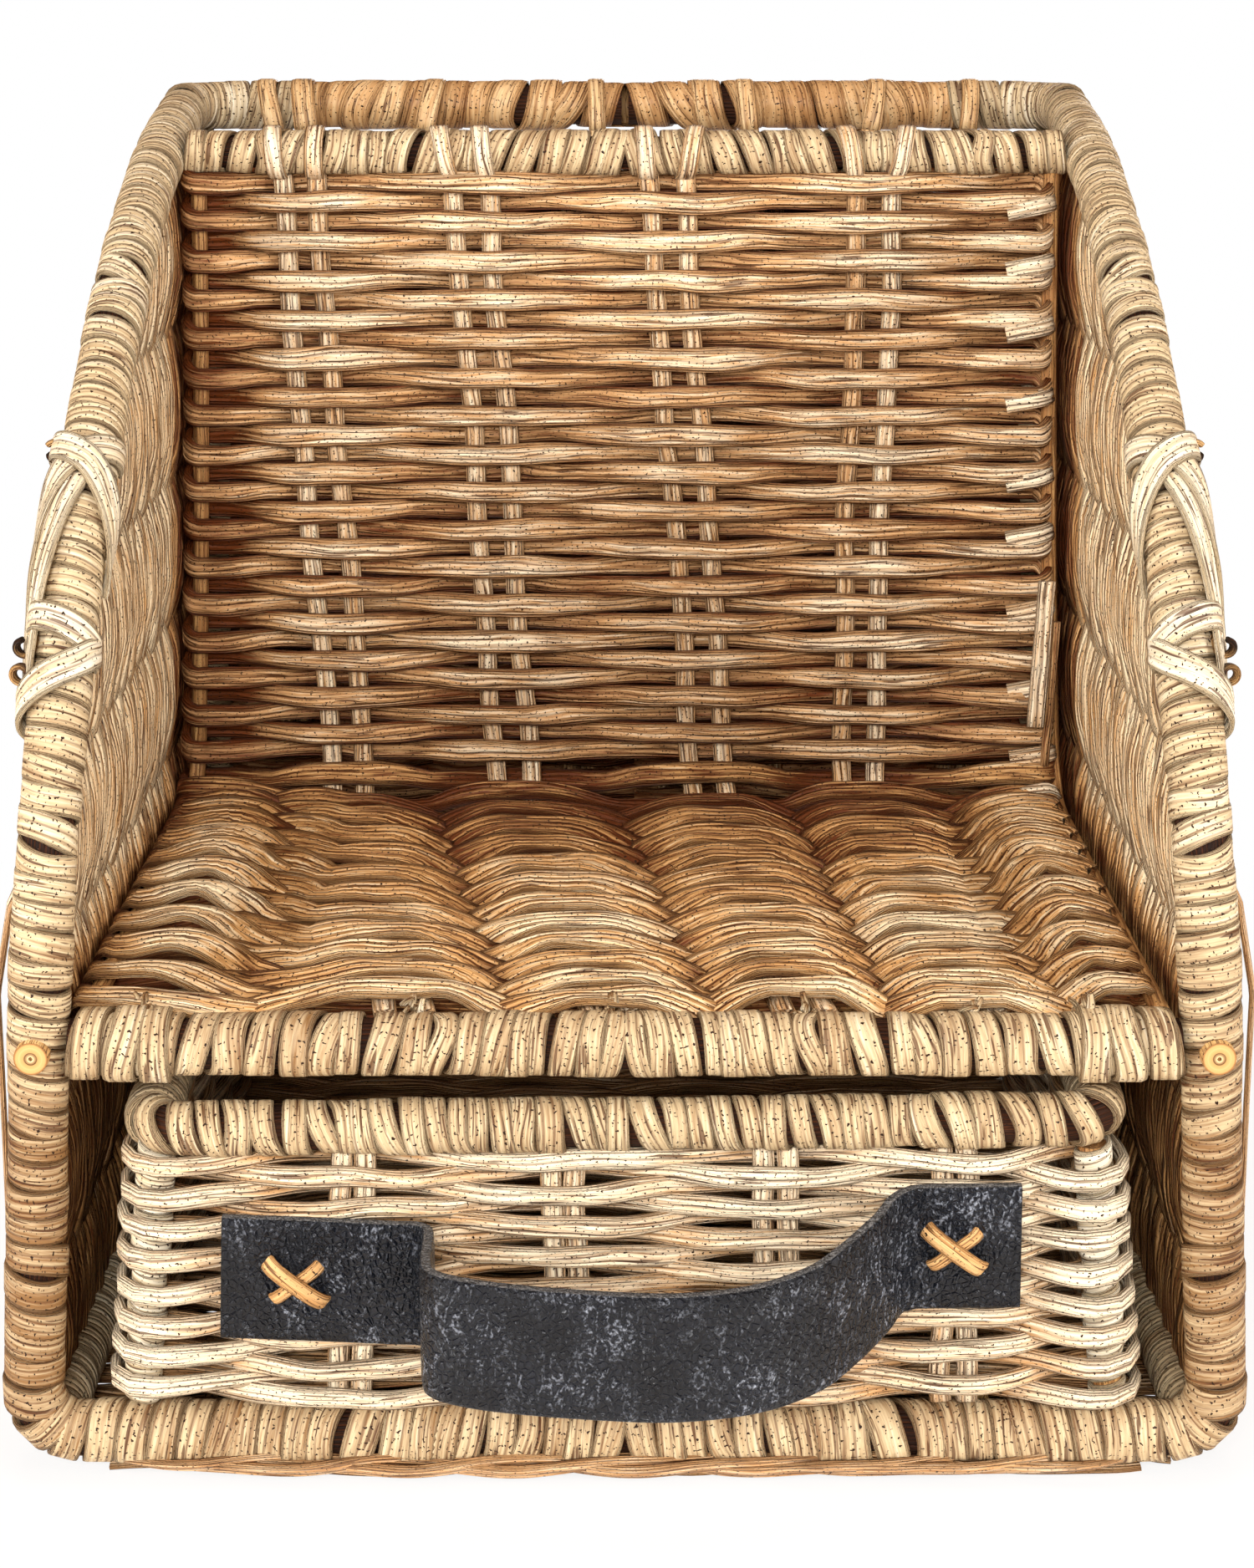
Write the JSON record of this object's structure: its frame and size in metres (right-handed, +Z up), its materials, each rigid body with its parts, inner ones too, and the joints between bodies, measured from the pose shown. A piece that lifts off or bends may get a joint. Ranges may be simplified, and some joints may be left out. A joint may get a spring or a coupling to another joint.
{
  "type": "rattan storage basket",
  "caption": "Wrapped cane basket with curved open sides, a woven shelf and back, and a woven drawer below that pulls out by a leather strap.",
  "frame": {"origin": "middle of the footprint, on the surface that the basket stands on", "axes": "+Z up, +Y towards the tall back wall, so the drawer pulls out towards -Y, +X to the right as seen from the front"},
  "size_m": [0.2884, 0.2712, 0.3132],
  "materials": {
    "wrapped_cane": "split rattan peel, satin, unvarnished",
    "woven_cane": "round rattan core, fibrous, matt to satin",
    "bare_cane": "peeled rattan pole, matt",
    "black_leather": "charcoal grained leather with raw cut edges",
    "tie_cane": "split rattan peel, satin"
  },
  "bodies": {
    "carcass": {"front_hoop": "wrapped_cane", "top_rim": "wrapped_cane", "base_rail": "wrapped_cane", "rear_post_right": "wrapped_cane", "rear_post_left": "wrapped_cane", "shelf_rod_right": "bare_cane", "shelf_rod_left": "bare_cane", "lower_lash_right": "wrapped_cane", "lower_lash_left": "wrapped_cane", "upper_lash_right": "wrapped_cane", "upper_lash_left": "wrapped_cane", "side_weave_upper_right": "woven_cane", "side_weave_upper_left": "woven_cane", "side_weave_lower_right": "woven_cane", "side_weave_lower_left": "woven_cane", "back_weave": "woven_cane", "back_wall_rod": "wrapped_cane", "bottom_weave": "woven_cane", "drawer_runner_right": "bare_cane", "drawer_runner_left": "bare_cane", "shelf_front_rail": "wrapped_cane", "shelf_lash_right": "wrapped_cane", "shelf_lash_left": "wrapped_cane", "insert_top_rail": "wrapped_cane", "insert_weave": "woven_cane", "insert_edge_stake_right": "bare_cane", "insert_edge_stake_left": "bare_cane", "shelf_rear_bar": "bare_cane"},
    "drawer": {"drawer_rim": "wrapped_cane", "drawer_stake_front_right": "woven_cane", "drawer_stake_front_left": "woven_cane", "drawer_stake_back_right": "woven_cane", "drawer_stake_back_left": "woven_cane", "drawer_front": "woven_cane", "drawer_back": "woven_cane", "drawer_side_right": "woven_cane", "drawer_side_left": "woven_cane", "drawer_floor": "woven_cane", "leather_strap": "black_leather", "strap_tie_left": "tie_cane", "strap_tie_right": "tie_cane"}
  },
  "joints": [
    {"name": "drawer_slide", "type": "slide", "parent": "carcass", "child": "drawer", "axis": [0, -1, 0], "range_m": [0, 0.185]}
  ]
}
